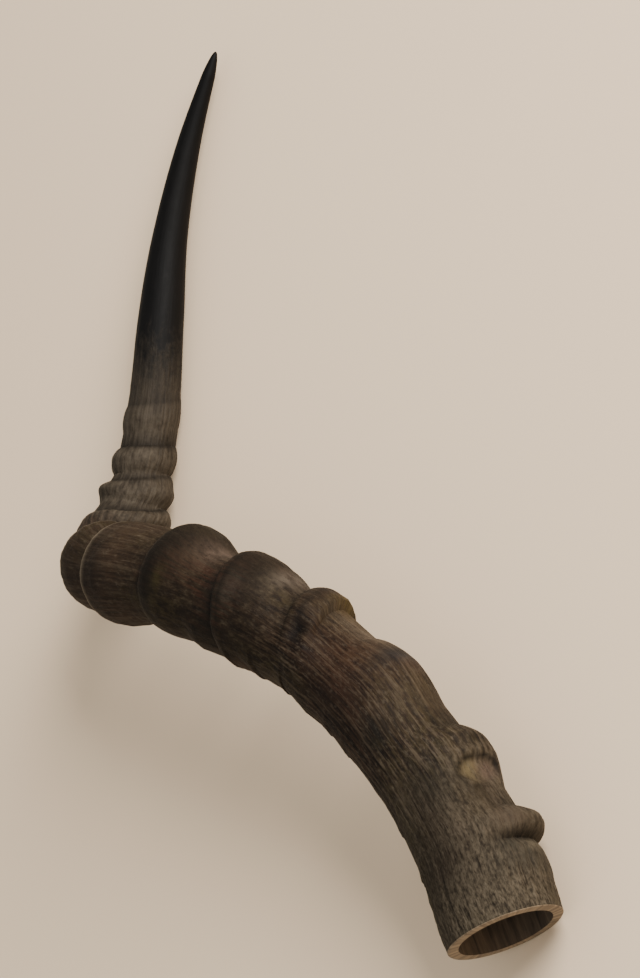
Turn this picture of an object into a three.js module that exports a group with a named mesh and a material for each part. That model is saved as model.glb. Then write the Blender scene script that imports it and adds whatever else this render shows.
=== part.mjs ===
// One horn of an impala ram, taken off the head: the right horn, sawn off flat at its base and slipped
// off its core. Millimetres, +Z up. The horn is one hollow sheath of keratin, so it is one solid.
//
// It is turned first as a straight cone, hollow at the base, with its rings. The cone is then bent along
// the line on which the horn grew, and the horn is laid down on its side, as a loose horn comes to rest.

import * as THREE from "three";

// The line on which the horn grew, from the middle of the sawn base to the tip, as [sideways, back, up]
// on the head. Sideways is towards the middle of the head. The points are closer together where the horn
// turns up.
const GROWTH_LINE = [
  [-0.5, 0, 0],
  [-14, 8.5, 34.5],
  [-34, 21, 66.5],
  [-54.8, 36, 91.3],
  [-81.6, 56, 113.2],
  [-110.3, 80.5, 129.4],
  [-131, 104, 140],
  [-146, 126, 143.5],
  [-156.6, 147, 147.6],
  [-156.8, 158.5, 155],
  [-151.8, 166.3, 166.2],
  [-146.8, 171, 180],
  [-141.6, 175.5, 210.3],
  [-138.8, 179, 249],
  [-135.3, 181, 283],
  [-128.5, 179, 319],
  [-117.9, 173, 355.8],
];

// The horn's radius in the creases between its rings, as [distance along the horn, radius].
const GIRTH = [
  [0, 22.6],
  [20, 22],
  [45, 20.5],
  [78, 19.5],
  [126, 18.6],
  [200, 18.2],
  [235, 17.8],
  [262, 16.6],
  [290, 14.6],
  [306, 13.3],
  [323, 11.9],
  [341, 11],
  [366, 10.2],
  [399, 8.8],
  [429, 6.8],
  [459, 5],
  [492, 2.7],
];
const TIP_BLUNTNESS = 0.5;

// The rings. Each runs from one crease to another, as distances along the horn, with its crest between
// them. It is highest facing an angle round the horn and keeps a share of that height on its far side,
// and the larger hug is, the tighter it hugs its high side. It lies askew: on its far side it comes
// later, nearer the tip, by so many millimetres, or sooner where that is negative.
const RINGS = [
  { from: 24, crest: 33, to: 45, height: 6.3, facing: -5, keep: 0, hug: 3.5, late: 0 },
  { from: 46, crest: 65, to: 77, height: 5.8, facing: -5, keep: 0, hug: 3, late: 0 },
  { from: 82, crest: 107, to: 125, height: 3.2, facing: 5, keep: 0.15, hug: 1.5, late: 0 },
  { from: 138, crest: 147.5, to: 156, height: 6.3, facing: 0, keep: 0.05, hug: 1.5, late: -9 },
  { from: 157, crest: 182, to: 190, height: 6.3, facing: 10, keep: 0.33, hug: 0.8, late: -7 },
  { from: 191, crest: 215.5, to: 223, height: 6, facing: 20, keep: 0.3, hug: 0.9, late: 0 },
  { from: 225, crest: 257.5, to: 264, height: 3.7, facing: 60, keep: 0.85, hug: 1, late: 0 },
  { from: 264, crest: 281, to: 287.5, height: 3.4, facing: 75, keep: 0.6, hug: 1, late: 0 },
  { from: 289, crest: 301.5, to: 307, height: 3.5, facing: 100, keep: 0.7, hug: 1, late: 9 },
  { from: 308, crest: 316, to: 321.5, height: 3, facing: 95, keep: 0.85, hug: 1, late: 7.5 },
  { from: 322, crest: 334, to: 339.5, height: 1.9, facing: 90, keep: 0.7, hug: 1, late: 7 },
  { from: 340, crest: 351, to: 356, height: 0.8, facing: 85, keep: 0.4, hug: 1, late: 6.5 },
];
// How full a ring's section is: 1 is a parabola, a smaller number is squarer, and a larger one eases in
// at the foot.
const FULLNESS_TO_BASE = 1.8;
const FULLNESS_TO_TIP = 1;

// The hollow that held the bony core.
const WALL_AT_RIM = 4.2;
const HOLLOW_DEPTH = 190;

// How the horn is laid down, in degrees: turned about the vertical, tipped over onto its back, where it
// rests on the rim of its base and on two rings past the bend, and turned again so that its length runs
// along X.
const TURN = 43.47;
const TIP_OVER = -84.85;
const TURN_ON_FLOOR = -124;

const SIDES = 38;
const degrees = THREE.MathUtils.degToRad;

const growthLine = new THREE.CatmullRomCurve3(
  GROWTH_LINE.map((p) => new THREE.Vector3(...p)),
  false,
  "catmullrom",
  0.5,
);
growthLine.arcLengthDivisions = 2000;
const LENGTH = growthLine.getLength();

// The radius in the creases, eased from each stated girth to the next and rounded off at the tip.
function creaseRadius(along) {
  const last = GIRTH.length - 1;
  const [tipStart, tipRadius] = GIRTH[last];
  if (along >= tipStart) {
    const left = Math.max(0, (LENGTH - along) / (LENGTH - tipStart));
    return tipRadius * Math.pow(left, TIP_BLUNTNESS);
  }
  const i = GIRTH.findIndex((girth, j) => along < GIRTH[j + 1][0]);
  const [from, r0] = GIRTH[i];
  const [to, r1] = GIRTH[i + 1];
  const slope = (j) => {
    const [a0, b0] = GIRTH[Math.max(0, j - 1)];
    const [a1, b1] = GIRTH[Math.min(last, j + 1)];
    return (b1 - b0) / (a1 - a0);
  };
  const span = to - from;
  const t = (along - from) / span;
  return (
    r0 * (2 * t ** 3 - 3 * t ** 2 + 1) +
    slope(i) * span * (t ** 3 - 2 * t ** 2 + t) +
    r1 * (3 * t ** 2 - 2 * t ** 3) +
    slope(i + 1) * span * (t ** 3 - t ** 2)
  );
}

// How much of a ring's reach round the horn an angle has, from 1 where it is highest to 0 on its far
// side.
const nearness = (ring, angle) => (1 + Math.cos(angle - degrees(ring.facing))) / 2;

// A row of the horn's outline at an angle round it, as its distance along the horn and how far its ring
// stands proud. Its share is -1 at the ring's crease towards the base, 0 on the crest and 1 at the
// crease towards the tip.
function onRing(ring, share, angle) {
  const near = nearness(ring, angle);
  const crease = share < 0 ? ring.from : ring.to;
  const fullness = share < 0 ? FULLNESS_TO_BASE : FULLNESS_TO_TIP;
  const side = ring.keep + (1 - ring.keep) * Math.pow(near, ring.hug);
  return {
    along: THREE.MathUtils.lerp(ring.crest, crease, Math.abs(share)) + ring.late * (1 - near),
    proud: ring.height * side * Math.pow(1 - share ** 2, fullness),
  };
}

// The rows of the turned outline, each a function of the angle round the horn: a few on each ring, and
// between and past the rings plain ones. Past the last ring they draw closer towards the tip.
const ROW_SHARES = [-1, -0.7, -0.45, -0.22, 0, 0.35, 0.7];
const PLAIN_ROWS_AT_BASE = [0, 12];
const PLAIN_ROWS_TO_TIP = 14;
const CLOSER_TO_TIP = 1.2;
const plainRow = (along) => () => ({ along, proud: 0 });

function outsideRows() {
  const rows = PLAIN_ROWS_AT_BASE.map(plainRow);
  RINGS.forEach((ring, i) => {
    const next = RINGS[i + 1];
    const shares = next && next.from === ring.to ? ROW_SHARES : [...ROW_SHARES, 1];
    shares.forEach((share) => rows.push((angle) => onRing(ring, share, angle)));
  });
  const last = RINGS[RINGS.length - 1];
  const smoothFrom = last.to + Math.max(0, last.late);
  for (let i = 1; i <= PLAIN_ROWS_TO_TIP; i++) {
    const share = 1 - (1 - i / PLAIN_ROWS_TO_TIP) ** CLOSER_TO_TIP;
    rows.push(plainRow(THREE.MathUtils.lerp(smoothFrom, LENGTH, share)));
  }
  return rows;
}

// The rows of the hollow, from its end to the rim. It narrows from the rim on and is rounded off at its
// end.
const HOLLOW_SHARES = [1, 0.97, 0.9, 0.78, 0.62, 0.45, 0.28, 0.12, 0];
const HOLLOW_TAPER = 1.6;
const HOLLOW_ROUNDING = 0.6;
const hollowRadius = (share) =>
  (creaseRadius(0) - WALL_AT_RIM) * Math.pow(1 - Math.pow(share, HOLLOW_TAPER), HOLLOW_ROUNDING);

// The middle of the horn and the two directions across it at a distance along it: inner, towards the
// middle of the head, at angle 0, and front, towards the face, at 90 degrees. They are carried along
// without twisting.
const FRAME_STEPS = 1000;
const carriedFrames = [];
for (let i = 0; i <= FRAME_STEPS; i++) {
  const along = growthLine.getTangentAt(i / FRAME_STEPS);
  const before = i === 0 ? new THREE.Vector3(1, 0, 0) : carriedFrames[i - 1].inner;
  const inner = before.clone().addScaledVector(along, -before.dot(along)).normalize();
  carriedFrames.push({ inner, front: inner.clone().cross(along) });
}

function pointOnHorn(along, angle, radius) {
  const share = along / LENGTH;
  const { inner, front } = carriedFrames[Math.round(share * FRAME_STEPS)];
  return growthLine
    .getPointAt(share)
    .addScaledVector(inner, radius * Math.cos(angle))
    .addScaledVector(front, radius * Math.sin(angle));
}

// The turned horn, bent: the lathe gives its rows and sides, and each of its points is then placed on
// the horn.
function hornGeometry() {
  const inside = HOLLOW_SHARES.map((share) => () => ({
    along: share * HOLLOW_DEPTH,
    radius: hollowRadius(share),
  }));
  const outside = outsideRows().map((row) => (angle) => {
    const { along, proud } = row(angle);
    return { along, radius: creaseRadius(along) + proud };
  });
  const rows = [...inside, ...outside];
  const outline = rows.map((row) => new THREE.Vector2(row(0).radius, row(0).along));
  const geometry = new THREE.LatheGeometry(outline, SIDES);
  geometry.deleteAttribute("normal");
  geometry.deleteAttribute("uv");

  const place = geometry.getAttribute("position");
  for (let v = 0; v < place.count; v++) {
    const side = Math.floor(v / rows.length) % SIDES;
    const angle = (-side / SIDES) * 2 * Math.PI;
    const { along, radius } = rows[v % rows.length](angle);
    const point = pointOnHorn(along, angle, radius);
    place.setXYZ(v, point.x, point.y, point.z);
  }
  geometry.computeVertexNormals();
  return geometry;
}

const horn = new THREE.Mesh(
  hornGeometry(),
  new THREE.MeshStandardMaterial({ color: 0x4a4037, roughness: 0.7, metalness: 0 }),
);
horn.name = "horn";

horn.rotation.z = degrees(TURN);

const tippedOver = new THREE.Group();
tippedOver.rotation.x = degrees(TIP_OVER);
tippedOver.add(horn);

const part = new THREE.Group();
part.rotation.z = degrees(TURN_ON_FLOOR);
part.add(tippedOver);

// The origin is on the floor, under the middle of the horn.
part.updateMatrixWorld(true);
const box = new THREE.Box3().setFromObject(part, true);
const middle = box.getCenter(new THREE.Vector3());
part.position.set(-middle.x, -middle.y, -box.min.z);

export default part;
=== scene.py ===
import math
from collections import namedtuple

import bpy
import numpy as np
from mathutils import Matrix, Vector, noise


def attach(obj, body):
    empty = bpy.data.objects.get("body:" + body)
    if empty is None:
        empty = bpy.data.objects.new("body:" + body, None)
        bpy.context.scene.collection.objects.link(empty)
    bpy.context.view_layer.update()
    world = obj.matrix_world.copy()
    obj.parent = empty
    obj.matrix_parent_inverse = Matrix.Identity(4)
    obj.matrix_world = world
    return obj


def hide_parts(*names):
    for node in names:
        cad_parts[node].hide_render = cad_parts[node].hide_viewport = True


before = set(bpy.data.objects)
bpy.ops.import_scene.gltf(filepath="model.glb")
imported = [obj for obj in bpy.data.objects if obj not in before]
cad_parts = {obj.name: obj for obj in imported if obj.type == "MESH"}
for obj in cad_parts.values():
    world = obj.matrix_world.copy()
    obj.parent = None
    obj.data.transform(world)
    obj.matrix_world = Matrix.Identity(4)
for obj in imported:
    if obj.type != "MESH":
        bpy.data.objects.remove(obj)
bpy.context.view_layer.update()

# THE HORN
# An impala ram's right horn: one hollow sheath of keratin, grown in rings, that sweeps out and back, turns
# up and tapers to a smooth tip. It was sawn off flat at its base and slipped off its bony core, and it lies
# on its back on the floor. Its sizes are in millimetres and its angles in degrees.

# The line on which the horn grew, from the middle of the sawn base to the tip: inwards, back and up.
GROWTH_LINE = np.array(
    [
        (-0.5, 0, 0),
        (-14, 8.5, 34.5),
        (-34, 21, 66.5),
        (-54.8, 36, 91.3),
        (-81.6, 56, 113.2),
        (-110.3, 80.5, 129.4),
        (-131, 104, 140),
        (-146, 126, 143.5),
        (-156.6, 147, 147.6),
        (-156.8, 158.5, 155),
        (-151.8, 166.3, 166.2),
        (-146.8, 171, 180),
        (-141.6, 175.5, 210.3),
        (-138.8, 179, 249),
        (-135.3, 181, 283),
        (-128, 179.5, 319),
        (-117, 174.1, 355.2),
    ]
)
STEPS_BETWEEN_POINTS = 400


def smooth_line(points, steps):
    """A curve through the points, at even steps between each two, and how far along it each step is."""
    ends = [2 * points[0] - points[1], *points, 2 * points[-1] - points[-2]]
    t = np.linspace(0, 1, steps, endpoint=False)[:, None]
    spans = []
    for before, start, end, after in zip(ends, ends[1:], ends[2:], ends[3:]):
        leave = (end - before) / 2
        arrive = (after - start) / 2
        cubic = 2 * (start - end) + leave + arrive
        square = 3 * (end - start) - 2 * leave - arrive
        spans.append(start + leave * t + square * t**2 + cubic * t**3)
    curve = np.vstack([*spans, points[-1:]])
    step_lengths = np.linalg.norm(np.diff(curve, axis=0), axis=1)
    return curve, np.concatenate([[0], np.cumsum(step_lengths)])


middle_line, distance = smooth_line(GROWTH_LINE, STEPS_BETWEEN_POINTS)
LENGTH = distance[-1]

# At each step of the line two directions across it are carried along without twisting: inwards, at angle 0
# round the horn, and to the front, at 90.
forward = np.gradient(middle_line, distance, axis=0)
forward /= np.linalg.norm(forward, axis=1)[:, None]
inner_side = np.zeros_like(middle_line)
carried = np.array([1.0, 0.0, 0.0])
for step, direction in enumerate(forward):
    carried = carried - direction * (carried @ direction)
    carried /= np.linalg.norm(carried)
    inner_side[step] = carried
front_side = np.cross(inner_side, forward)

# The horn's radius in the creases between its rings, as distance along the horn and radius.
GIRTH = [
    (0, 22.6),
    (20, 22),
    (45, 20.5),
    (78, 19.5),
    (126, 18.6),
    (200, 17.9),
    (235, 17.8),
    (262, 16.6),
    (290, 14.6),
    (306, 13.1),
    (323, 11.3),
    (341, 10.6),
    (366, 10),
    (399, 8.8),
    (429, 6.8),
    (459, 5),
    (492, 2.7),
]
TIP_BLUNTNESS = 0.5


def crease_radius(along):
    """The radius in the creases, eased from each girth to the next and rounded off at the tip."""
    at, girth = np.array(GIRTH).T
    slope = np.empty_like(girth)
    slope[1:-1] = (girth[2:] - girth[:-2]) / (at[2:] - at[:-2])
    slope[0] = (girth[1] - girth[0]) / (at[1] - at[0])
    slope[-1] = (girth[-1] - girth[-2]) / (at[-1] - at[-2])
    span = np.clip(np.searchsorted(at, along, side="right") - 1, 0, len(at) - 2)
    width = at[span + 1] - at[span]
    t = (along - at[span]) / width
    eased = (
        girth[span] * (2 * t**3 - 3 * t**2 + 1)
        + slope[span] * width * (t**3 - 2 * t**2 + t)
        + girth[span + 1] * (3 * t**2 - 2 * t**3)
        + slope[span + 1] * width * (t**3 - t**2)
    )
    left = np.clip((LENGTH - along) / (LENGTH - at[-1]), 0, 1)
    return np.where(along >= at[-1], girth[-1] * left**TIP_BLUNTNESS, eased)


# The rings. Each runs from one crease over its crest to the next crease, as distances along the horn.
# Facing is the angle where it is highest, and keep the share of its height on the far side. The larger hug
# is, the tighter it hugs its high side. On the far side it comes later by so many millimetres, or sooner
# where late is negative, and the larger swing is, the sooner it gets there on the way round. Flare is how
# hollow its long side towards the base is: under 1 it bulges, and the larger it is, the thinner the lip on
# the crest. Tipward is the same for its short side towards the tip. Dark is how much painted shade
# darkens its upper crease.
Ring = namedtuple(
    "Ring",
    "start crest end height facing keep hug late swing flare tipward dark",
    defaults=(0, 1, 0, 1, 1, 0.8, 0),
)
RINGS = [
    Ring(28, 33.5, 39.5, 5.8, facing=-5, hug=3.5, flare=0.9, dark=0.35),
    Ring(48.5, 64, 75.5, 4.8, facing=-5, hug=3, flare=1.4, dark=0.45),
    Ring(84, 106, 121, 3.4, facing=5, keep=0.15, hug=1.5, late=-5, flare=2),
    Ring(140.5, 147.5, 155, 5.1, facing=5, keep=0.05, hug=1.3, late=-16, flare=0.3, tipward=0.7, dark=0.45),
    Ring(156, 182, 188.3, 5.4, facing=15, keep=0.2, hug=0.8, late=-13, tipward=0.4, dark=0.8),
    Ring(188.6, 215, 220.5, 5.9, facing=20, keep=0.3, hug=0.9, late=-1, flare=3.2, tipward=0.5, dark=0.85),
    Ring(223, 258.5, 263, 3.6, facing=60, keep=0.75, flare=2.2, dark=0.85),
    Ring(264, 282, 287, 3.9, facing=90, keep=0.13, flare=2, dark=0.6),
    Ring(304, 314, 318, 4.2, facing=320, keep=0.4, late=-15, swing=3, flare=1.5, tipward=0.6, dark=0.7),
    Ring(318, 324.5, 331, 2, facing=310, keep=0.85, late=-7.5, swing=2, flare=1.7, tipward=0.6, dark=0.6),
    Ring(327, 333, 338.5, 2.4, facing=95, keep=0.55, late=5, flare=0.9, tipward=0.7, dark=0.7),
    Ring(345, 351, 356.5, 1.1, facing=90, keep=0.4, late=6, flare=0.9, dark=0.4),
]

# The horn is shaped as rows of points, each right round it. On a ring the rows crowd together towards the
# crest, and there are more on its short side. Past the last ring they draw closer towards the tip.
AROUND = 216
ROW_STEP = 1.1
FEWEST_ROWS_ON_LONG_SIDE = 4
FEWEST_ROWS_ON_SHORT_SIDE = 6
CLOSER_ON_SHORT_SIDE = 1.3
CROWD_TO_CREST = 1.1
ROW_STEP_ON_TIP = 1.32
CLOSER_TO_TIP = 1.25
SHADE_FROM, SHADE_FULL = 0.1, 0.5
angles = np.arange(AROUND + 1) / AROUND * 2 * math.pi


def fade(values, low, high):
    """0 below low, 1 above high and eased between."""
    t = np.clip((values - low) / (high - low), 0, 1)
    return t * t * (3 - 2 * t)


def ring_rows(ring, with_crease):
    """One ring's rows: distance along the horn, how proud each point stands, how far it is up the ring, how
    high the ring is at its angle, and how much painted shade darkens its crease. Up the ring is from -1 at
    its start over 0 on its crest to 1 at its end."""
    long_side = ring.crest - ring.start
    short_side = ring.end - ring.crest
    rows_up = max(FEWEST_ROWS_ON_LONG_SIDE, round(long_side / ROW_STEP))
    rows_down = max(FEWEST_ROWS_ON_SHORT_SIDE, round(short_side / ROW_STEP * CLOSER_ON_SHORT_SIDE))
    up = -((1 - np.arange(rows_up) / rows_up) ** CROWD_TO_CREST)
    down = np.sin(np.arange(rows_down + with_crease) / rows_down * math.pi / 2)
    share = np.concatenate([up, down])[:, None]
    near = (1 + np.cos(angles - math.radians(ring.facing))) / 2
    reach = ring.keep + (1 - ring.keep) * near**ring.hug
    foot = np.where(share < 0, ring.start, ring.end)
    fullness = np.where(share < 0, ring.flare, ring.tipward)
    along = ring.crest + (foot - ring.crest) * np.abs(share) + ring.late * (1 - near**ring.swing)
    proud = ring.height * reach * (1 - share**2) ** fullness
    # Painted shade in the ring's crease, stronger where the ring stands high.
    shade_amount = ring.dark * fade(reach, SHADE_FROM, SHADE_FULL)
    return np.broadcast_arrays(along, proud, share, ring.height * reach, shade_amount)


def plain_rows(start, end, step, ease=1.0):
    """Rows with no ring, from a start up to an end that isn't reached. Ease crowds them towards the end."""
    count = max(1, round((end - start) / step))
    share = 1 - (1 - np.arange(count) / count) ** ease
    along = (start + (end - start) * share)[:, None] + 0 * angles
    return np.broadcast_arrays(along, 0, 1, 0, 0)


row_groups = [plain_rows(0, RINGS[0].start, ROW_STEP)]
for ring, above in zip(RINGS, RINGS[1:]):
    row_groups.append(ring_rows(ring, with_crease=above.start > ring.end))
last_ring = RINGS[-1]
row_groups.append(ring_rows(last_ring, with_crease=False))
row_groups.append(plain_rows(last_ring.end + last_ring.late, LENGTH, ROW_STEP_ON_TIP, CLOSER_TO_TIP))
row_groups.append(plain_rows(LENGTH, LENGTH, ROW_STEP))
along, proud, ring_share, ring_height, crease_shade = (np.vstack(group) for group in zip(*row_groups))
around = np.broadcast_to(angles, along.shape)

# The small steps on the outer lower edge, where each year's cap of horn ends over the next: distance along
# the horn, the angle a step faces, and its height. It reaches so many degrees to either side, comes a
# little later there, and eases off over its run. A dark painted shadow lies just below it.
STEPS_ON_OUTER_EDGE = [
    (29, 205, 0.9),
    (39, 215, 0.8),
    (51, 205, 0.7),
    (96, 190, 0.4),
    (108.4, 185, 0.5),
    (123, 185, 0.6),
    (138.5, 185, 0.7),
    (155, 186, 0.8),
    (170, 188, 0.7),
    (187, 188, 1.4),
]
STEP_REACH = 40
STEP_LATER_A_DEGREE = 0.02
STEP_RUN = 8
STEP_SHADOW = 0.55
STEP_SHADOW_BELOW = 0.9
STEP_SHADOW_WIDTH = 1.1

# Knobs, pits and waists: distance along the horn, angle, reach along and round it, and height.
KNOBS = [
    (28, 38, 1.8, 13, -1.6),
    (34.5, 14, 2.6, 4.5, 0.9),
    (36.5, 42, 2.6, 4.5, 0.65),
    (35, 70, 2.4, 4, 0.8),
    (33, 28, 3, 1.8, -0.6),
    (33.5, 56, 3, 1.8, -0.6),
    (33, 44, 3.5, 8, 0.75),
    (61.5, 44, 1.8, 11, 0.9),
    (68, 40, 3.6, 11, 1.3),
    (52, 30, 3, 4, 0.5),
    (106, 46, 4.5, 6, 0.7),
    (20, 8, 8, 15, 1.3),
    (130, 15, 7, 14, -1.5),
    (142, 186, 8, 14, -1),
    (159, 186, 9, 14, -1),
    (141.5, 20, 2.2, 8, 0.9),
    (145, 78, 4.5, 6, 1),
    (139, 101, 3.2, 4.2, -2.6),
    (163, 52, 6, 9, -0.9),
    (173, 103, 5, 5, 0.4),
    (197, 22, 8, 14, -1.7),
    (200, 66, 6, 9, -0.5),
    (319.2, 112, 3.6, 6.5, 2.3),
    (321.5, 335, 4, 6, 1.8),
]

# A worn hollow with a crisp and ragged edge, under the lip of the second knob: the same facts. Its edge
# is darkened with painted shade, most on its side towards the tip.
SCOOP = (54.5, 45, 5, 10.5, -1.7)
SCOOP_RAGGED = 0.25
SCOOP_FLOOR, SCOOP_EDGE = 0.6, 1.15
SCOOP_SHADE = 0.8
SCOOP_SHADE_WIDTH = 0.22
SCOOP_SHADE_STARTS = (-6, 3)

# The grain: fibres and bark along the horn, fine mottle, lumps, and growth lines across it. Each kind has a
# size round and along the horn, a seed, and a height, which for some is another one on the rings or past
# them. The fibres and the mottle all but end on the smooth tip. Where each part begins and ends is given as
# distances along the horn.
FIBRES = (1.9, 26, 3.1)
BARK = (2.6, 9, 11.7)
MOTTLE = (3.2, 4.8, 41.3)
LUMPS = (12, 15.6, 23.3)
GROWTH_LINES = (30, 2.4, 31.9)
WAVER = (30, 22, 57.3)
FIBRE_HEIGHT, FIBRE_HEIGHT_ON_RINGS = 0.28, 0.06
BARK_HEIGHT = 0.3
MOTTLE_HEIGHT, MOTTLE_HEIGHT_ON_RINGS = 0.16, 0.28
LUMP_HEIGHT, LUMP_HEIGHT_PAST_BEND = 0.45, 0.3
GROWTH_LINE_HEIGHT, GROWTH_LINE_HEIGHT_PAST_RINGS = 0.06, 0.16
GROWTH_LINE_SWAY = 2
GRAIN_WAVER = 0.05
NOISE_GIRTH = 20
FIBRES_LOST_ON_TIP = 0.93
MOTTLE_LOST_ON_TIP = 0.95
BARK_AT_BASE_ENDS = (40, 115)
HIGH_RINGS_START = (125, 160)
HIGH_RINGS_END = (250, 290)
LINES_GROW = (150, 240)
LINES_END = (340, 400)
BEND = (220, 300)
SMOOTH_TIP_STARTS = (300, 400)
EASED_AT_RIM = 5
EASED_AT_TIP = 30


def speckle(around, along, size_round, size_along, seed):
    """Smooth noise between -1 and 1 over the horn."""
    x = np.cos(around).ravel() * NOISE_GIRTH / size_round
    y = np.sin(around).ravel() * NOISE_GIRTH / size_round
    z = along.ravel() / size_along + seed
    flat = [noise.noise(point) for point in zip(x, y, z)]
    return np.array(flat).reshape(around.shape)


def degrees_off(around, facing):
    """How far round the horn each point is from an angle, from -180 to 180."""
    return (np.degrees(around) - facing + 180) % 360 - 180


def patch(around, along, at, facing, long, wide):
    """How far each point is from a place, as the square of its share of a patch's reach along and round."""
    across = np.radians(degrees_off(around, facing)) * crease_radius(along)
    return ((along - at) / long) ** 2 + (across / wide) ** 2


waver = speckle(around, along, *WAVER) * GRAIN_WAVER
fibres = speckle(around + waver, along, *FIBRES)
bark = 1 - 2 * np.abs(speckle(around + waver, along, *BARK))
mottled = speckle(around + waver, along, *MOTTLE)
lumps = speckle(around, along, *LUMPS)
growth_lines = speckle(around, along + GROWTH_LINE_SWAY * lumps, *GROWTH_LINES)
on_rings = fade(along, *HIGH_RINGS_START) * (1 - fade(along, *HIGH_RINGS_END))
past_bend = fade(along, *BEND)
on_tip = fade(along, *SMOOTH_TIP_STARTS)
at_base = 1 - fade(along, *BARK_AT_BASE_ENDS)


def change(first, second, share):
    """From the first value to the second, by a share."""
    return first + (second - first) * share


fibre_height = change(FIBRE_HEIGHT, FIBRE_HEIGHT_ON_RINGS, on_rings)
mottle_height = change(MOTTLE_HEIGHT, MOTTLE_HEIGHT_ON_RINGS, on_rings)
lump_height = change(LUMP_HEIGHT, LUMP_HEIGHT_PAST_BEND, past_bend)
line_height = change(GROWTH_LINE_HEIGHT, GROWTH_LINE_HEIGHT_PAST_RINGS, fade(along, *LINES_GROW))
relief = fibres * fibre_height * (1 - FIBRES_LOST_ON_TIP * on_tip)
relief += bark * BARK_HEIGHT * at_base
relief += mottled * mottle_height * (1 - MOTTLE_LOST_ON_TIP * on_tip)
relief += lumps * lump_height * (1 - on_tip)
relief += growth_lines * line_height * (1 - fade(along, *LINES_END))
step_shadow = np.zeros_like(along)
for at, facing, height in STEPS_ON_OUTER_EDGE:
    off = degrees_off(around, facing)
    reach = np.clip(1 - (off / STEP_REACH) ** 2, 0, 1)
    past = along - at - STEP_LATER_A_DEGREE * np.abs(off)
    relief += height * reach * np.clip(1 - past / STEP_RUN, 0, 1) * (past > 0)
    # The painted shadow just below the step.
    under_step = np.exp(-(((past + STEP_SHADOW_BELOW) / STEP_SHADOW_WIDTH) ** 2))
    step_shadow = np.maximum(step_shadow, STEP_SHADOW * reach * under_step)
for *where, height in KNOBS:
    relief += height * np.exp(-patch(around, along, *where))
*where, height = SCOOP
from_scoop = patch(around, along, *where) + SCOOP_RAGGED * mottled
relief += height * (1 - fade(from_scoop, SCOOP_FLOOR, SCOOP_EDGE))
# Painted shade round the scoop's edge.
scoop_shade = np.exp(-(((from_scoop - 1) / SCOOP_SHADE_WIDTH) ** 2))
scoop_shade *= fade(along - SCOOP[0], *SCOOP_SHADE_STARTS)
relief *= fade(along, 0, EASED_AT_RIM) * fade(LENGTH - along, 0, EASED_AT_TIP)
radius = crease_radius(along) + proud + relief

# The sawn rim, with a small burr on its outer edge, and the hollow that held the bony core. It is grooved
# lengthwise like the core and rounded off at its end.
WALL_AT_RIM = 4.2
HOLLOW_DEPTH = 190
HOLLOW_TAPER = 1.6
HOLLOW_ROUNDING = 0.6
HOLLOW_ROWS = 34
CLOSER_TO_END = 1.15
HOLLOW_GROOVES = (3, 45, 47.1)
GROOVE_DEPTH = 0.45
GROOVES_EASED_AT_RIM = 0.05
GROOVES_EASED_AT_END = 0.3
RIM_ROWS = 4
SAW_BURR = 0.35
into = (1 - (np.arange(HOLLOW_ROWS) / HOLLOW_ROWS) ** CLOSER_TO_END)[:, None] + 0 * angles
hollow_along = into * HOLLOW_DEPTH
inner_edge = crease_radius(0.0) - WALL_AT_RIM
hollow_radius = inner_edge * (1 - into**HOLLOW_TAPER) ** HOLLOW_ROUNDING
grooves = speckle(np.broadcast_to(angles, into.shape), hollow_along, *HOLLOW_GROOVES)
grooves *= GROOVE_DEPTH * fade(into, 0, GROOVES_EASED_AT_RIM) * fade(1 - into, 0, GROOVES_EASED_AT_END)
hollow_radius += grooves
across_rim = (np.arange(RIM_ROWS) / (RIM_ROWS - 1))[:, None]
rim_radius = change(inner_edge, radius[0] - SAW_BURR, across_rim)
along[0] = SAW_BURR
all_along = np.vstack([hollow_along, 0 * rim_radius, along])
all_radius = np.vstack([hollow_radius, rim_radius, radius])
all_around = np.broadcast_to(angles, all_along.shape)

# The sheath is a flat grid of as many squares, rolled up, bent along the line and laid down on its back:
# turned about the vertical, tipped over, and turned again so that its length runs along X.
TURN = 43.47
TIP_OVER = -84.85
TURN_ON_FLOOR = -124
PLACE_ON_FLOOR = np.array([-203.2508, -41.7428, 21.9631])
MM = 0.001
lay_down = (
    Matrix.Rotation(math.radians(TURN_ON_FLOOR), 3, "Z")
    @ Matrix.Rotation(math.radians(TIP_OVER), 3, "X")
    @ Matrix.Rotation(math.radians(TURN), 3, "Z")
)
laid = np.array(lay_down)


def on_line(values, along):
    """The values that go with the steps of the line, read at distances along it."""
    return np.stack([np.interp(along, distance, values[:, k]) for k in range(3)], axis=-1)


bpy.ops.object.select_all(action="DESELECT")
bpy.ops.mesh.primitive_grid_add(x_subdivisions=AROUND, y_subdivisions=len(all_along) - 1, size=1)
horn = bpy.context.object
horn.name = "horn_sheath"
across_line = (
    on_line(inner_side, all_along) * np.cos(all_around)[..., None]
    + on_line(front_side, all_along) * np.sin(all_around)[..., None]
)
placed = on_line(middle_line, all_along) + across_line * all_radius[..., None]
placed = (placed @ laid.T + PLACE_ON_FLOOR) * MM
placed[..., 2] = np.maximum(placed[..., 2], 0)
horn.data.vertices.foreach_set("co", placed.ravel())

# The keratin is the first material, the sawn rim the second and the lining of the hollow the third.
ROWS_BEFORE_OUTSIDE = HOLLOW_ROWS + RIM_ROWS
corners = np.empty(len(horn.data.loops), dtype=np.int32)
horn.data.loops.foreach_get("vertex_index", corners)
row_of_face = corners.reshape(-1, 4).min(axis=1) // (AROUND + 1)
finish_of_face = np.where(row_of_face < HOLLOW_ROWS, 2, np.where(row_of_face < ROWS_BEFORE_OUTSIDE, 1, 0))
horn.data.polygons.foreach_set("material_index", finish_of_face.astype(np.int32))
horn.data.update()


def keep_on_points(name, kind, field, values):
    """Keeps a value at each point of the sheath, for its materials."""
    layer = horn.data.attributes.new(name, kind, "POINT")
    layer.data.foreach_set(field, values.astype(np.float32).ravel())


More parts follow.
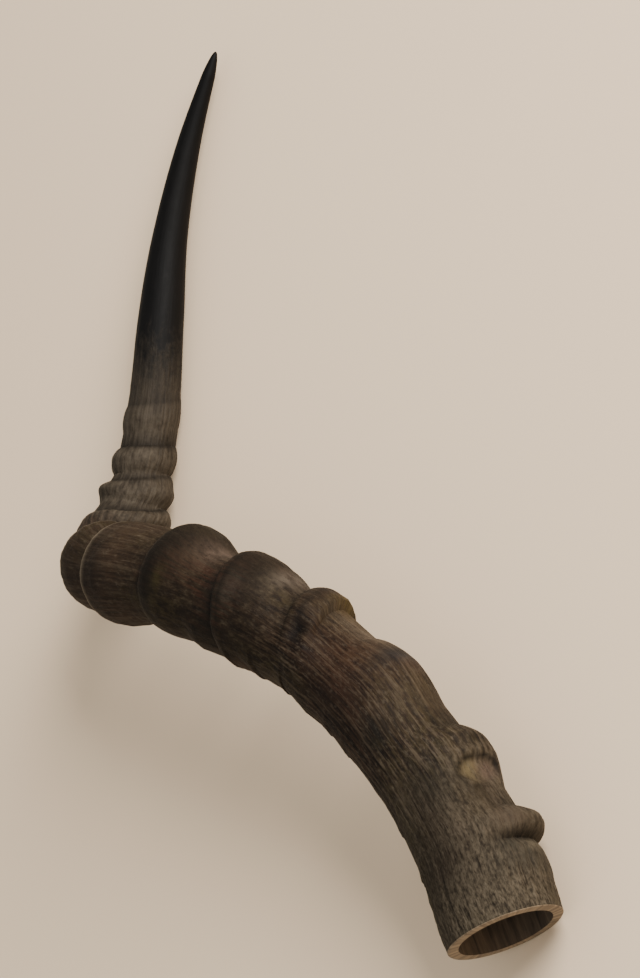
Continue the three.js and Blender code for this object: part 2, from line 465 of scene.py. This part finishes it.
def keep_outside(name, values):
    """Keeps a number at each point of the outside, and 0 in the hollow."""
    nothing = np.zeros((ROWS_BEFORE_OUTSIDE, AROUND + 1))
    keep_on_points(name, "FLOAT", "value", np.vstack([nothing, values]))


# What the materials need to know: each point's place on the straight horn with its grain wavering a little,
# how near it is to a ring's crest and its lip, and how much painted shade darkens it in the creases, under
# the steps and round the scoop. A ring's lip and its upper crease are at these shares of its short side,
# and both show more on a high ring.
LIP_STARTS = (-0.08, 0.08)
LIP_ENDS = (0.2, 0.45)
UPPER_CREASE = (0.55, 0.92)
HEIGHT_OF_DARK_CREST = (0, 5)
HEIGHT_OF_LIP = (0.8, 3.4)
grain_around = all_around + np.vstack([np.zeros((ROWS_BEFORE_OUTSIDE, AROUND + 1)), waver])
even_radius = crease_radius(all_along)
straight = [np.cos(grain_around) * even_radius, np.sin(grain_around) * even_radius, all_along]
keep_on_points("straight", "FLOAT_VECTOR", "vector", np.dstack(straight) * MM)
keep_outside("up_ring", (1 - ring_share**2) * fade(ring_height, *HEIGHT_OF_DARK_CREST))
# Painted shade: in the rings' creases, just below the steps and round the scoop's edge.
shade_amount = [fade(ring_share, *UPPER_CREASE) * crease_shade, step_shadow, SCOOP_SHADE * scoop_shade]
keep_outside("in_crease", np.maximum.reduce(shade_amount))
past_crest = fade(ring_share, *LIP_STARTS) * (1 - fade(ring_share, *LIP_ENDS))
keep_outside("on_lip", past_crest * fade(ring_height, *HEIGHT_OF_LIP))

# Stains and worn places, and among them a painted shadow under the first knob, painted highlights on the
# hollow waists of two rings and a pale painted highlight on the upper side of the shaft: distance along
# the horn, angle, reach along and round it, colour as a screen gives it, and strength. A later one covers
# an earlier one.
STAINS_AND_PAINTED_LIGHT = [
    (20.6, 46, 5, 13, (84, 82, 76), 0.75),
    (25, 28, 2, 9, (150, 144, 130), 0.7),
    # Painted shadow under the lip of the first knob.
    (28.4, 40, 1.7, 13, (16, 13, 11), 1),
    (25.5, 60, 2, 5, (50, 54, 50), 0.6),
    (34, 48, 4, 10, (118, 106, 95), 0.8),
    (28, 136, 14, 13, (46, 34, 25), 0.8),
    (52, 122, 15, 9, (58, 46, 36), 0.6),
    (44.7, 68, 5, 7, (98, 84, 54), 0.75),
    (48.6, 58, 0.9, 6, (34, 26, 19), 0.75),
    (54.8, 55, 3.6, 5, (170, 158, 120), 0.95),
    (54, 35, 3.6, 6, (150, 130, 124), 0.8),
    (52, 70, 2.2, 2.5, (40, 30, 22), 0.6),
    (55.6, 104, 9, 8, (58, 57, 49), 0.6),
    (85.7, 124, 7, 7, (46, 47, 42), 0.7),
    (89, 48, 11, 13, (108, 97, 78), 0.6),
    (102, 32, 3, 5, (118, 96, 90), 0.5),
    (107, 42, 3.2, 7, (84, 88, 98), 0.9),
    (112, 44, 1.2, 7, (34, 29, 26), 0.6),
    (110, 134, 18, 14, (48, 34, 25), 0.6),
    (118, 86, 16, 12, (108, 76, 60), 0.5),
    # Painted highlight on the upper side of the shaft.
    (126, 36, 12, 7, (178, 166, 150), 0.7),
    (139, 101, 3.8, 5, (14, 11, 15), 1),
    (142, 18, 2.8, 8, (136, 122, 72), 0.85),
    (146, 52, 4, 9, (84, 66, 56), 0.6),
    # Painted highlight on a ring's hollow waist.
    (161, 42, 5, 10, (158, 151, 145), 0.75),
    (173.5, 102, 4, 5, (118, 114, 106), 0.5),
    # Painted highlight on a ring's hollow waist.
    (197, 46, 6, 10, (160, 144, 138), 0.7),
    (200, 92, 7, 8, (106, 88, 68), 0.45),
    (208, 125, 2.5, 5, (94, 88, 52), 0.6),
    (213.5, 128, 3.5, 14, (34, 31, 24), 0.85),
    (252, 132, 7, 12, (40, 29, 27), 0.85),
    (240, 104, 7, 12, (130, 106, 88), 0.3),
    (276, 122, 9, 12, (62, 49, 38), 0.65),
    (178, 125, 3, 12, (46, 42, 32), 0.6),
]


def screen_to_light(colour):
    """A colour as a screen gives it, from 0 to 255, as amounts of light."""
    screen = np.array(colour) / 255
    return np.where(screen < 0.04045, screen / 12.92, ((screen + 0.055) / 1.055) ** 2.4)


marks_as_light = np.zeros((*all_along.shape, 3))
marked = np.zeros(all_along.shape)
for *where, colour, strength in STAINS_AND_PAINTED_LIGHT:
    amount = strength * np.exp(-patch(all_around, all_along, *where))
    amount[:ROWS_BEFORE_OUTSIDE] = 0
    whole = marked + amount * (1 - marked)
    new_share = np.where(whole > 0, amount / np.maximum(whole, 1e-6), 0)[..., None]
    marks_as_light = change(marks_as_light, screen_to_light(colour), new_share)
    marked = whole
keep_on_points("stain", "FLOAT_COLOR", "color", np.dstack([marks_as_light, marked]))

# The grid's two sides meet along the horn, and its end rows close the hollow's end and the tip.
MERGED_WITHIN = 0.000005
SHARP_EDGE = 50
bpy.ops.object.mode_set(mode="EDIT")
bpy.ops.mesh.select_all(action="SELECT")
bpy.ops.mesh.remove_doubles(threshold=MERGED_WITHIN)
bpy.ops.mesh.normals_make_consistent(inside=False)
bpy.ops.object.mode_set(mode="OBJECT")
bpy.ops.object.shade_smooth_by_angle(angle=math.radians(SHARP_EDGE))


class Paint:
    """A value on its way through a material. Sums on it add Math nodes, and node() adds any other node."""

    def __init__(self, tree, socket=None):
        self.tree = tree
        self.socket = socket

    def node(self, kind, settings, sockets, output=0):
        made = self.tree.nodes.new(kind)
        for name, value in settings.items():
            if name == "stops":
                elements = made.color_ramp.elements
                for position, _ in value[2:]:
                    elements.new(position)
                for element, (position, tint) in zip(elements, value):
                    element.position = position
                    element.color = tint
            else:
                setattr(made, name, value)
        for name, value in sockets.items():
            if isinstance(value, Paint):
                self.tree.links.new(value.socket, made.inputs[name])
            else:
                made.inputs[name].default_value = value
        return Paint(self.tree, made.outputs[output])

    def math(self, operation, first, second):
        return self.node("ShaderNodeMath", {"operation": operation}, {0: first, 1: second})

    def __add__(self, other):
        return self.math("ADD", self, other)

    def __sub__(self, other):
        return self.math("SUBTRACT", self, other)

    def __rsub__(self, other):
        return self.math("SUBTRACT", other, self)

    def __mul__(self, other):
        return self.math("MULTIPLY", self, other)

    __radd__ = __add__
    __rmul__ = __mul__

    def kept(self, name, output):
        """What is kept at each point of the sheath under a name."""
        return self.node("ShaderNodeAttribute", {"attribute_name": name}, {}, output)

    def noise(self, stretch, scale, detail, roughness):
        """Noise between 0 and 1 on the straight horn, drawn out along it, by its scale in turns a metre."""
        place = self.kept("straight", "Vector")
        drawn = self.node("ShaderNodeVectorMath", {"operation": "MULTIPLY"}, {0: place, 1: (1, 1, stretch)})
        sockets = {"Vector": drawn, "Scale": scale, "Detail": detail, "Roughness": roughness}
        return self.node("ShaderNodeTexNoise", {}, sockets)

    def between(self, low, high, start=0.0, end=1.0):
        """Eased from start, where the value is low, to end, where it is high."""
        return self.node(
            "ShaderNodeMapRange",
            {"interpolation_type": "SMOOTHSTEP"},
            {"Value": self, "From Min": low, "From Max": high, "To Min": start, "To Max": end},
        )

    def weaker_on(self, mask, share=1.0):
        """This value, weaker by a share where a mask is 1."""
        return self * (1 - mask * share)

    def ramp(self, *stops):
        return self.node("ShaderNodeValToRGB", {"stops": stops}, {"Fac": self})

    def blend(self, other, amount, kind="MIX"):
        """This colour with another mixed in by an amount. A Mix node's colours are its sockets 6 and 7."""
        sockets = {"Factor": amount, 6: self, 7: other}
        return self.node("ShaderNodeMix", {"data_type": "RGBA", "blend_type": kind}, sockets, 2)


def shade(red, green, blue):
    """A colour as a screen gives it, from 0 to 255, for a node."""
    return (*screen_to_light((red, green, blue)).tolist(), 1.0)


def new_material(name, roughness):
    """A material with a shader whose roughness is the same all over until something is linked to it."""
    material = bpy.data.materials.new(name)
    material.use_nodes = True
    shader = material.node_tree.nodes["Principled BSDF"]
    shader.inputs["Roughness"].default_value = roughness
    return material, shader, Paint(material.node_tree)


# What the keratin looks like: grey and bark-like at the base, dark brown with fine pale grooves along the
# ringed part, greyer past the bend, and satin and nearly black at the tip. The creases are darkened with
# painted shade and the rings' lips are worn. Where one look gives way to the next is in metres along the
# horn.
BARK_ENDS = (0.03, 0.085)
BIG_RINGS_START = (0.13, 0.165)
BIG_RINGS_END = (0.22, 0.235)
BEND_ENDS = (0.285, 0.3)
UPPER_STARTS = (0.285, 0.305)
BLACK_STARTS = (0.342, 0.392)

keratin, keratin_shader, paint = new_material("horn_keratin", 0.6)
up_ring = paint.kept("up_ring", "Fac")
in_crease = paint.kept("in_crease", "Fac")
on_lip = paint.kept("on_lip", "Fac")
marks_colour = paint.kept("stain", "Color")
marks_amount = paint.kept("stain", "Alpha")
along_horn = paint.node("ShaderNodeSeparateXYZ", {}, {"Vector": paint.kept("straight", "Vector")}, "Z")

grain = paint.noise(0.08, 1500, 2, 0.6)
fibre = paint.noise(0.05, 800, 3, 0.6)
strands = paint.noise(0.24, 900, 3, 0.6)
mottle = paint.noise(0.55, 420, 5, 0.7)
blotches = paint.noise(0.6, 75, 3, 0.55)
drifts = paint.noise(0.5, 38, 2, 0.5)
cross_lines = paint.noise(8, 60, 3, 0.6)
pores = paint.noise(0.45, 1000, 2, 0.6)

uneven = (blotches - 0.5) * 0.05
is_bark = (along_horn + uneven).between(*BARK_ENDS, 1, 0)
is_ringed = along_horn.between(*BIG_RINGS_START) * along_horn.between(*BIG_RINGS_END, 1, 0)
is_bent = along_horn.between(*BIG_RINGS_END) * along_horn.between(*BEND_ENDS, 1, 0)
is_upper = (along_horn + uneven * 0.3).between(*UPPER_STARTS)
is_black = (along_horn + (mottle - 0.5) * 0.06).between(*BLACK_STARTS)

# The ground colour of each part, from its darkest to its lightest fibres.
fine_tone = fibre * 0.62 + grain * 0.2 + mottle * 0.18
coarse_tone = mottle * 0.72 + fibre * 0.08 + grain * 0.2
tone = fine_tone.weaker_on(is_ringed, 0.9) + coarse_tone * is_ringed * 0.9
upper_tone = mottle * 0.45 + fine_tone * 0.55
bark_tone = strands * 0.15 + mottle * 0.5 + pores * 0.35
grooved_brown = tone.ramp(
    (0.36, shade(26, 18, 13)),
    (0.46, shade(56, 43, 33)),
    (0.55, shade(88, 72, 57)),
    (0.66, shade(140, 122, 100)),
)
ringed_brown = tone.ramp(
    (0.34, shade(36, 28, 21)),
    (0.47, shade(58, 47, 36)),
    (0.57, shade(76, 64, 50)),
    (0.72, shade(106, 95, 79)),
)
bend_brown = fine_tone.ramp((0.32, shade(62, 49, 39)), (0.5, shade(80, 65, 53)), (0.7, shade(100, 85, 71)))
bark_grey = bark_tone.ramp(
    (0.36, shade(68, 62, 53)),
    (0.46, shade(106, 99, 87)),
    (0.54, shade(132, 125, 112)),
    (0.66, shade(166, 159, 146)),
)
upper_grey = upper_tone.ramp(
    (0.36, shade(74, 68, 61)),
    (0.5, shade(112, 105, 96)),
    (0.64, shade(142, 136, 127)),
)
tip_black = upper_tone.ramp((0.38, shade(13, 13, 16)), (0.62, shade(25, 25, 29)))
colour = grooved_brown.blend(ringed_brown, is_ringed)
colour = colour.blend(bend_brown, is_bent)
colour = colour.blend(bark_grey, is_bark)
colour = colour.blend(upper_grey, is_upper)

# Reddish and olive drifts, pale flecks, cracks, grooves and their ridges, speckles, pits and dust.
reddish = drifts.between(0.48, 0.6) * fibre.between(0.42, 0.58) * 0.55
reddish = reddish.weaker_on(is_bark).weaker_on(is_upper).weaker_on(is_bent, 0.6)
colour = colour.blend(shade(98, 62, 48), reddish)
olive = drifts.between(0.5, 0.36) * mottle.between(0.4, 0.6) * 0.5
colour = colour.blend(shade(96, 88, 58), olive.weaker_on(is_upper))
flecked = strands.between(0.55, 0.66) * mottle.between(0.42, 0.55) * 0.35
colour = colour.blend(shade(168, 160, 146), flecked.weaker_on(is_upper).weaker_on(is_ringed))
cracked = strands.between(0.42, 0.34) * 0.3
cracked = cracked.weaker_on(is_ringed, 0.8).weaker_on(is_bent, 0.7).weaker_on(is_bark, 0.5)
colour = colour.blend(shade(22, 17, 13), cracked.weaker_on(is_upper))
grooved = fibre.between(0.47, 0.38) * 0.38
grooved = grooved.weaker_on(is_ringed, 0.9).weaker_on(is_upper, 0.7).weaker_on(is_bent, 0.3)
colour = colour.blend(shade(30, 20, 15), grooved)
ridged = fibre.between(0.54, 0.64) * 0.45
ridged = ridged.weaker_on(is_ringed, 0.9).weaker_on(is_upper, 0.8).weaker_on(is_bent, 0.5)
colour = colour.blend(shade(134, 126, 114), ridged)
speckled = mottle.between(0.55, 0.66) * is_ringed * 0.16
colour = colour.blend(shade(136, 131, 118), speckled)
pitted = pores.between(0.47, 0.36) * 0.3
pitted = pitted.weaker_on(is_upper, 0.6).weaker_on(is_bent, 0.5).weaker_on(is_ringed, 0.5)
colour = colour.blend(shade(24, 19, 15), pitted)
dusted = pores.between(0.54, 0.66) * 0.3
dusted = dusted.weaker_on(is_upper, 0.5).weaker_on(is_bent, 0.6).weaker_on(is_ringed, 0.6)
colour = colour.blend(shade(150, 143, 130), dusted)

# The crests, the stains with the painted highlights and shadow among them, the lips and the painted shade
# in the creases lie over all of that, and the black of the tip over them. The last blend is how dull the
# whole horn is.
dark_crest = up_ring.between(0.4, 1, 0, 0.6) * is_ringed
colour = colour.blend(shade(36, 29, 21), dark_crest)
# The stains, with the painted highlights and the painted shadow among them.
colour = colour.blend(marks_colour, marks_amount * mottle.between(0.3, 0.6, 0.3, 1))
light_lip = on_lip * is_bent * 0.85
colour = colour.blend(shade(214, 203, 186), light_lip)
dark_lip = on_lip.weaker_on(is_bent).weaker_on(is_upper).weaker_on(is_bark) * 0.5
colour = colour.blend(shade(28, 23, 18), dark_lip)
# Painted shade: darker in the creases, just below each step of the outer edge and round the scoop's edge.
colour = colour.blend(shade(20, 16, 12), in_crease)
colour = colour.blend(tip_black, is_black)
colour = colour.blend(shade(138, 131, 121), 1, "MULTIPLY")

roughness = 0.7 - is_black * 0.08 + (mottle - 0.5) * 0.25 + is_bark * 0.12
fine_relief = fibre.weaker_on(is_ringed, 0.85) * 0.6 + grain * 0.2 + mottle * 0.5 + cross_lines * 0.2
fine_relief = (fine_relief + strands * is_bark * 0.6).weaker_on(is_black, 0.86)
bumped = paint.node("ShaderNodeBump", {}, {"Strength": 0.8, "Distance": 0.001, "Height": fine_relief})
keratin_shader.inputs["Specular IOR Level"].default_value = 0.12
keratin.node_tree.links.new(colour.socket, keratin_shader.inputs["Base Color"])
keratin.node_tree.links.new(roughness.socket, keratin_shader.inputs["Roughness"])
keratin.node_tree.links.new(bumped.socket, keratin_shader.inputs["Normal"])

# The sawn rim shows the horn's paler layers, scratched by the saw, and the lining of the hollow is dull.
sawn, sawn_shader, paint = new_material("sawn_rim", 0.75)
layers = paint.noise(1, 500, 4, 0.6)
sawn_colour = layers.ramp((0.35, shade(84, 70, 54)), (0.65, shade(140, 122, 98)))
sawn.node_tree.links.new(sawn_colour.socket, sawn_shader.inputs["Base Color"])
scratched = paint.node("ShaderNodeBump", {}, {"Strength": 0.5, "Distance": 0.0004, "Height": layers})
sawn.node_tree.links.new(scratched.socket, sawn_shader.inputs["Normal"])

lining, lining_shader, paint = new_material("hollow_lining", 0.85)
lining_grain = paint.noise(0.1, 420, 4, 0.6)
lining_colour = lining_grain.ramp((0.35, shade(52, 42, 33)), (0.65, shade(98, 82, 64)))
lining.node_tree.links.new(lining_colour.socket, lining_shader.inputs["Base Color"])

for material in (keratin, sawn, lining):
    horn.data.materials.append(material)
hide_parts("horn")
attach(horn, "root")

# THE FLOOR, THE LIGHT AND THE CAMERA
# A plain pale floor, one large soft light from over the tip, and a weak one from the side of the bend.
FLOOR_SIZE = 12
DAYLIGHT = 0.62
bpy.ops.object.select_all(action="DESELECT")
bpy.ops.mesh.primitive_plane_add(size=FLOOR_SIZE, location=(0, 0, 0))
floor = bpy.context.object
floor.name = "floor"
floor_material, floor_shader, paint = new_material("pale_floor", 0.9)
floor_shader.inputs["Base Color"].default_value = shade(240, 215, 184)
floor.data.materials.append(floor_material)

world = bpy.data.worlds.new("studio")
world.use_nodes = True
world.node_tree.nodes["Background"].inputs["Color"].default_value = shade(242, 238, 230)
world.node_tree.nodes["Background"].inputs["Strength"].default_value = DAYLIGHT
bpy.context.scene.world = world

# The camera stands where the photograph's stood, and looks at the horn alone, so much enlarged. Both places
# are given as the growth line is, before the horn is laid down. The photograph's focal length and height
# are in its pixels.
EYE_AS_GROWN = np.array([44, -2500, -108])
AIM_AS_GROWN = np.array([-72, 88, 172])
PHOTO_FOCAL = 2500
PHOTO_HEIGHT = 978
ENLARGED = 2.75
eye = Vector((EYE_AS_GROWN @ laid.T + PLACE_ON_FLOOR) * MM)
aim = Vector((AIM_AS_GROWN @ laid.T + PLACE_ON_FLOOR) * MM)
up_as_grown = Vector(laid @ np.array([0, 0, 1.0]))
look = (aim - eye).normalized()
right = look.cross(up_as_grown).normalized()
up = right.cross(look)

bpy.ops.object.camera_add()
camera = bpy.context.object
camera.matrix_world = Matrix.Translation(eye) @ Matrix((right, up, -look)).transposed().to_4x4()
camera.data.lens = PHOTO_FOCAL * ENLARGED / PHOTO_HEIGHT * camera.data.sensor_width
camera.data.clip_start = 0.1
camera.data.clip_end = 50
bpy.context.scene.camera = camera


def soft_light(name, towards, distance, size, power, tint):
    """A square soft light on the horn, from a direction given along the picture's right, up and out."""
    bpy.ops.object.light_add(type="AREA")
    light = bpy.context.object
    light.name = name
    out = (right * towards[0] + up * towards[1] - look * towards[2]).normalized()
    light.location = aim + out * distance
    light.rotation_mode = "QUATERNION"
    light.rotation_quaternion = out.to_track_quat("Z", "Y")
    light.data.size = size
    light.data.energy = power
    light.data.color = tint


soft_light("key", (0.16, 0.66, 0.72), distance=1.6, size=0.9, power=52, tint=(1, 0.965, 0.92))
soft_light("fill", (-0.5, 0.1, 0.85), distance=2, size=1.6, power=5, tint=(0.95, 0.97, 1))
